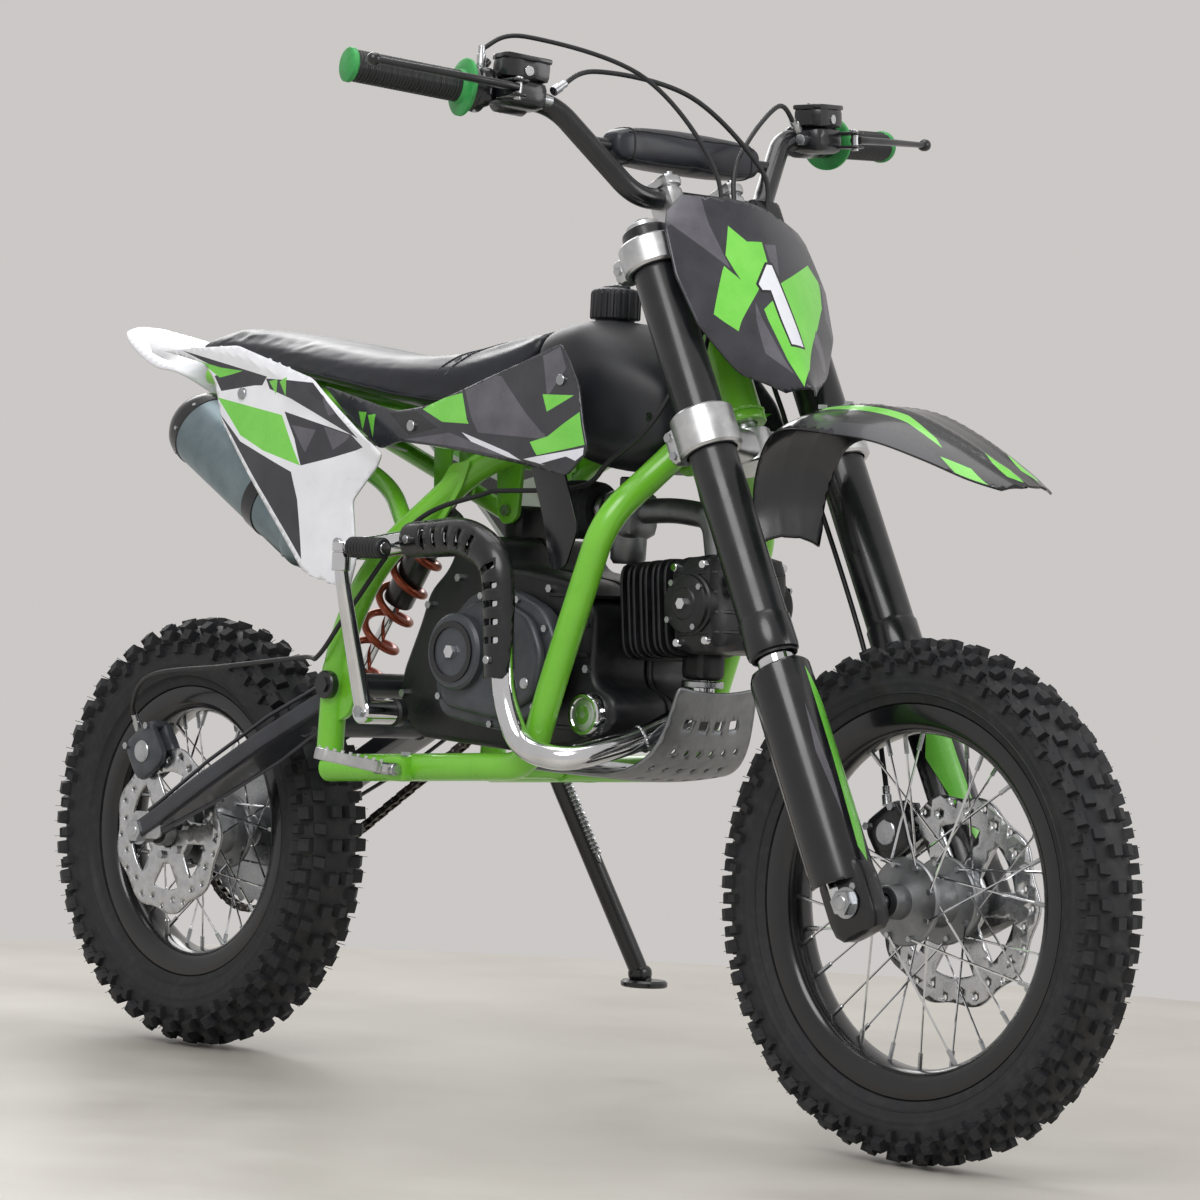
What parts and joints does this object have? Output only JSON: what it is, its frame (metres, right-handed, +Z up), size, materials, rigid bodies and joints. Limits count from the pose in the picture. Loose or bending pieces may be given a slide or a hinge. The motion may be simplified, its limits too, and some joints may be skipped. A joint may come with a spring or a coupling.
{
  "type": "dirt bike",
  "caption": "Small petrol dirt bike with a cradle frame, horizontal engine, inverted fork, single-shock swingarm, spoked wheels, chain drive, plastic bodywork and side stand.",
  "frame": {"origin": "on the floor, under the middle of the bike's length and width", "axes": "+X forward, +Y to the rider's left, +Z up"},
  "size_m": [1.598, 0.8146, 1.0856],
  "materials": {
    "tyre": "matt black rubber",
    "black_rim": "gloss black paint on alloy",
    "cast_alloy": "grey as cast",
    "bright_alloy": "bright satin",
    "steel": "satin",
    "chrome": "mirror chrome",
    "green_paint": "gloss lime green paint",
    "black_paint": "satin black paint",
    "grey_paint": "satin dark grey paint",
    "engine_black": "satin black paint on cast alloy",
    "black_plastic": "gloss black moulded plastic",
    "white_plastic": "gloss white moulded plastic",
    "vinyl": "satin charcoal vinyl",
    "rubber": "matt black rubber",
    "red_plastic": "gloss red plastic",
    "red_paint": "gloss red paint",
    "satin_can": "satin grey"
  },
  "bodies": {
    "frame": {"main_frame": "green_paint", "crankcase": "engine_black", "right_engine_cover": "grey_paint", "cylinder": "engine_black", "carburettor": "cast_alloy", "header_pipe": "chrome", "silencer": "satin_can", "skid_plate": "cast_alloy", "seat": "vinyl", "fuel_tank": "black_plastic", "shroud_left": "black_plastic", "shroud_right": "black_plastic", "side_panel_left": "white_plastic", "side_panel_right": "white_plastic", "rear_fender": "white_plastic", "rear_brake_hose": "rubber"},
    "steering": {"lower_clamp": "bright_alloy", "upper_clamp": "bright_alloy", "fork_upper_left": "black_paint", "fork_upper_right": "black_paint", "handlebar": "black_paint", "crossbar_pad": "vinyl", "grip_left": "rubber", "master_cylinder_left": "black_paint", "master_cylinder_right": "black_paint", "number_plate": "black_plastic", "front_fender": "black_plastic", "front_brake_hose": "rubber", "throttle_cable": "rubber"},
    "fork_sliders": {"fork_lower_left": "black_plastic", "fork_lower_right": "black_plastic", "front_axle": "steel", "front_caliper": "black_paint"},
    "front_wheel": {"front_tyre": "tyre", "front_rim": "black_rim", "front_hub": "cast_alloy", "front_disc": "steel"},
    "swingarm": {"swingarm": "grey_paint", "rear_axle": "steel", "rear_caliper": "black_paint", "chain": "steel"},
    "rear_wheel": {"rear_tyre": "tyre", "rear_rim": "black_rim", "rear_hub": "cast_alloy", "rear_disc": "steel", "rear_sprocket": "steel"},
    "drive_sprocket": {"drive_sprocket": "steel"},
    "shock_body": {"shock_body": "black_paint", "shock_spring": "red_paint"},
    "shock_shaft": {"shock_shaft": "steel"},
    "throttle_grip": {"throttle_grip": "rubber"},
    "brake_lever_left": {"brake_lever_left": "bright_alloy"},
    "brake_lever_right": {"brake_lever_right": "bright_alloy"},
    "kill_button": {"kill_button": "red_plastic"},
    "fuel_cap": {"fuel_cap": "black_plastic"},
    "footpeg_left": {"footpeg_left": "bright_alloy"},
    "footpeg_right": {"footpeg_right": "bright_alloy"},
    "kick_arm": {"kick_arm": "chrome"},
    "kick_pedal": {"kick_pedal": "rubber"},
    "side_stand": {"side_stand": "black_paint"}
  },
  "joints": [
    {"name": "steering", "type": "hinge", "parent": "frame", "child": "steering", "pos_m": [0.50741, 0, 0.23526], "axis": [-0.4462, 0, 0.8949], "range_deg": [-32, 32], "deforming": ["front_brake_hose", "throttle_cable", "rear_brake_hose"]},
    {"name": "fork_slide", "type": "slide", "parent": "steering", "child": "fork_sliders", "axis": [-0.4462, 0, 0.8949], "range_m": [0, 0.08], "stiffness_N_per_m": 9000, "springref_m": -0.08},
    {"name": "front_wheel_spin", "type": "hinge", "parent": "fork_sliders", "child": "front_wheel", "pos_m": [0.545, 0, 0.254], "axis": [0, 1, 0], "continuous": true},
    {"name": "swingarm_pivot", "type": "hinge", "parent": "frame", "child": "swingarm", "pos_m": [-0.2, 0, 0.425], "axis": [0, 1, 0], "range_deg": [0, 12], "stiffness_Nm_per_rad": 2200, "springref_deg": -8.59, "deforming": ["chain"]},
    {"name": "rear_wheel_spin", "type": "hinge", "parent": "swingarm", "child": "rear_wheel", "pos_m": [-0.555, 0, 0.244], "axis": [0, 1, 0], "continuous": true},
    {"name": "drive_sprocket_spin", "type": "hinge", "parent": "frame", "child": "drive_sprocket", "pos_m": [-0.13, 0, 0.445], "axis": [0, 1, 0], "continuous": true},
    {"name": "shock_tilt", "type": "hinge", "parent": "frame", "child": "shock_body", "pos_m": [-0.16, 0, 0.64], "axis": [0, 1, 0], "range_deg": [0, 3.8]},
    {"name": "shock_slide", "type": "slide", "parent": "shock_body", "child": "shock_shaft", "axis": [0.5618, 0, 0.8272], "range_m": [0, 0.02], "deforming": ["shock_spring"]},
    {"name": "throttle_twist", "type": "hinge", "parent": "steering", "child": "throttle_grip", "pos_m": [0.11909, -0.26, 1.02977], "axis": [-0.2623, -0.9618, 0.0787], "range_deg": [0, 75], "stiffness_Nm_per_rad": 0.06, "springref_deg": -28.65},
    {"name": "brake_squeeze_left", "type": "hinge", "parent": "steering", "child": "brake_lever_left", "pos_m": [0.17751, 0.24339, 1.02841], "axis": [0, -0.0815, 0.9967], "range_deg": [0, 9], "stiffness_Nm_per_rad": 1, "springref_deg": -17.19},
    {"name": "brake_squeeze_right", "type": "hinge", "parent": "steering", "child": "brake_lever_right", "pos_m": [0.17751, -0.24339, 1.02841], "axis": [0, 0.0815, 0.9967], "range_deg": [-9, 0], "stiffness_Nm_per_rad": 1, "springref_deg": 17.19},
    {"name": "kill_press", "type": "slide", "parent": "steering", "child": "kill_button", "axis": [0.6455, 0.2355, -0.7265], "range_m": [0, 0.0025], "stiffness_N_per_m": 300, "springref_m": -0.002},
    {"name": "fuel_cap_turn", "type": "hinge", "parent": "frame", "child": "fuel_cap", "pos_m": [0.077, 0, 0.826], "axis": [0, 0, 1], "range_deg": [0, 180]},
    {"name": "footpeg_fold_left", "type": "hinge", "parent": "frame", "child": "footpeg_left", "pos_m": [-0.077, 0.152, 0.343], "axis": [1, 0, 0], "range_deg": [0, 55]},
    {"name": "footpeg_fold_right", "type": "hinge", "parent": "frame", "child": "footpeg_right", "pos_m": [-0.077, -0.152, 0.343], "axis": [1, 0, 0], "range_deg": [-55, 0]},
    {"name": "kick_swing", "type": "hinge", "parent": "frame", "child": "kick_arm", "pos_m": [-0.123, -0.14, 0.4], "axis": [0, 1, 0], "range_deg": [-70, 0], "stiffness_Nm_per_rad": 2, "springref_deg": 34.38},
    {"name": "kick_pedal_fold", "type": "hinge", "parent": "kick_arm", "child": "kick_pedal", "pos_m": [-0.117, -0.192, 0.566], "axis": [0, 0, 1], "range_deg": [-90, 0]},
    {"name": "stand_swing", "type": "hinge", "parent": "frame", "child": "side_stand", "pos_m": [-0.139, 0.148, 0.34], "axis": [0, 0.9182, 0.3961], "range_deg": [0, 100]}
  ],
  "couplings": [
    {"joint": "drive_sprocket_spin", "follows": "rear_wheel_spin", "ratio": 2.7273},
    {"joint": "shock_tilt", "follows": "swingarm_pivot", "ratio": 0.299},
    {"joint": "shock_slide", "follows": "swingarm_pivot", "m_per_rad": 0.093}
  ]
}
